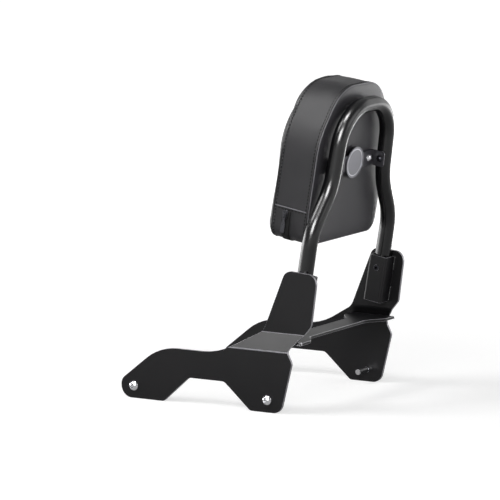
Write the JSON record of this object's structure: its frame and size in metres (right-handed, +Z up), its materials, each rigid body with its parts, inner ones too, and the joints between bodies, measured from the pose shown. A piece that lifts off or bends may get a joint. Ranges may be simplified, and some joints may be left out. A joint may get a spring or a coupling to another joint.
{
  "type": "sissy bar",
  "caption": "Detachable motorcycle sissy bar: a leaning bent-tube hoop with a padded backrest, held in sleeves on two folded side plates that bolt to the fender struts.",
  "frame": {"origin": "on the ground under the middle of the outer box, with the part standing on the lower edges of its side plates", "axes": "+X to the bike's right, +Y forwards, +Z up; the hoop leans back towards -Y"},
  "size_m": [0.286, 0.3309, 0.4556],
  "materials": {
    "gloss_black_paint": "gloss black powder coat",
    "satin_black_paint": "satin black powder coat",
    "satin_grey_steel": "satin dark grey coat",
    "black_oxide_steel": "black oxide",
    "brushed_aluminium": "brushed, turned rings",
    "black_leatherette": "satin black leatherette, stitched",
    "smooth_vinyl": "smooth black vinyl over a stiff board",
    "plain_steel": "plain zinc plate",
    "bright_steel": "polished stainless steel",
    "woven_tape": "woven black zip tape",
    "black_zip_metal": "black lacquered zinc"
  },
  "bodies": {
    "root": {"hoop_tube": "gloss_black_paint", "cross_strip": "satin_grey_steel", "left_strip_screw": "black_oxide_steel", "right_strip_screw": "black_oxide_steel", "badge_disc": "brushed_aluminium", "pad_cushion": "black_leatherette", "pad_board": "smooth_vinyl", "left_pad_insert": "plain_steel", "right_pad_insert": "plain_steel", "left_pad_screw": "bright_steel", "right_pad_screw": "bright_steel", "zip_tape": "woven_tape", "zip_slider": "black_zip_metal", "zip_pull": "black_zip_metal", "left_side_plate": "satin_black_paint", "right_side_plate": "satin_black_paint", "left_sleeve": "satin_black_paint", "right_sleeve": "satin_black_paint", "left_set_screw": "black_oxide_steel", "right_set_screw": "black_oxide_steel", "cross_brace": "satin_black_paint", "left_front_bolt": "bright_steel", "left_rear_bolt": "bright_steel", "right_front_bolt": "bright_steel", "right_rear_bolt": "bright_steel"}
  },
  "joints": []
}
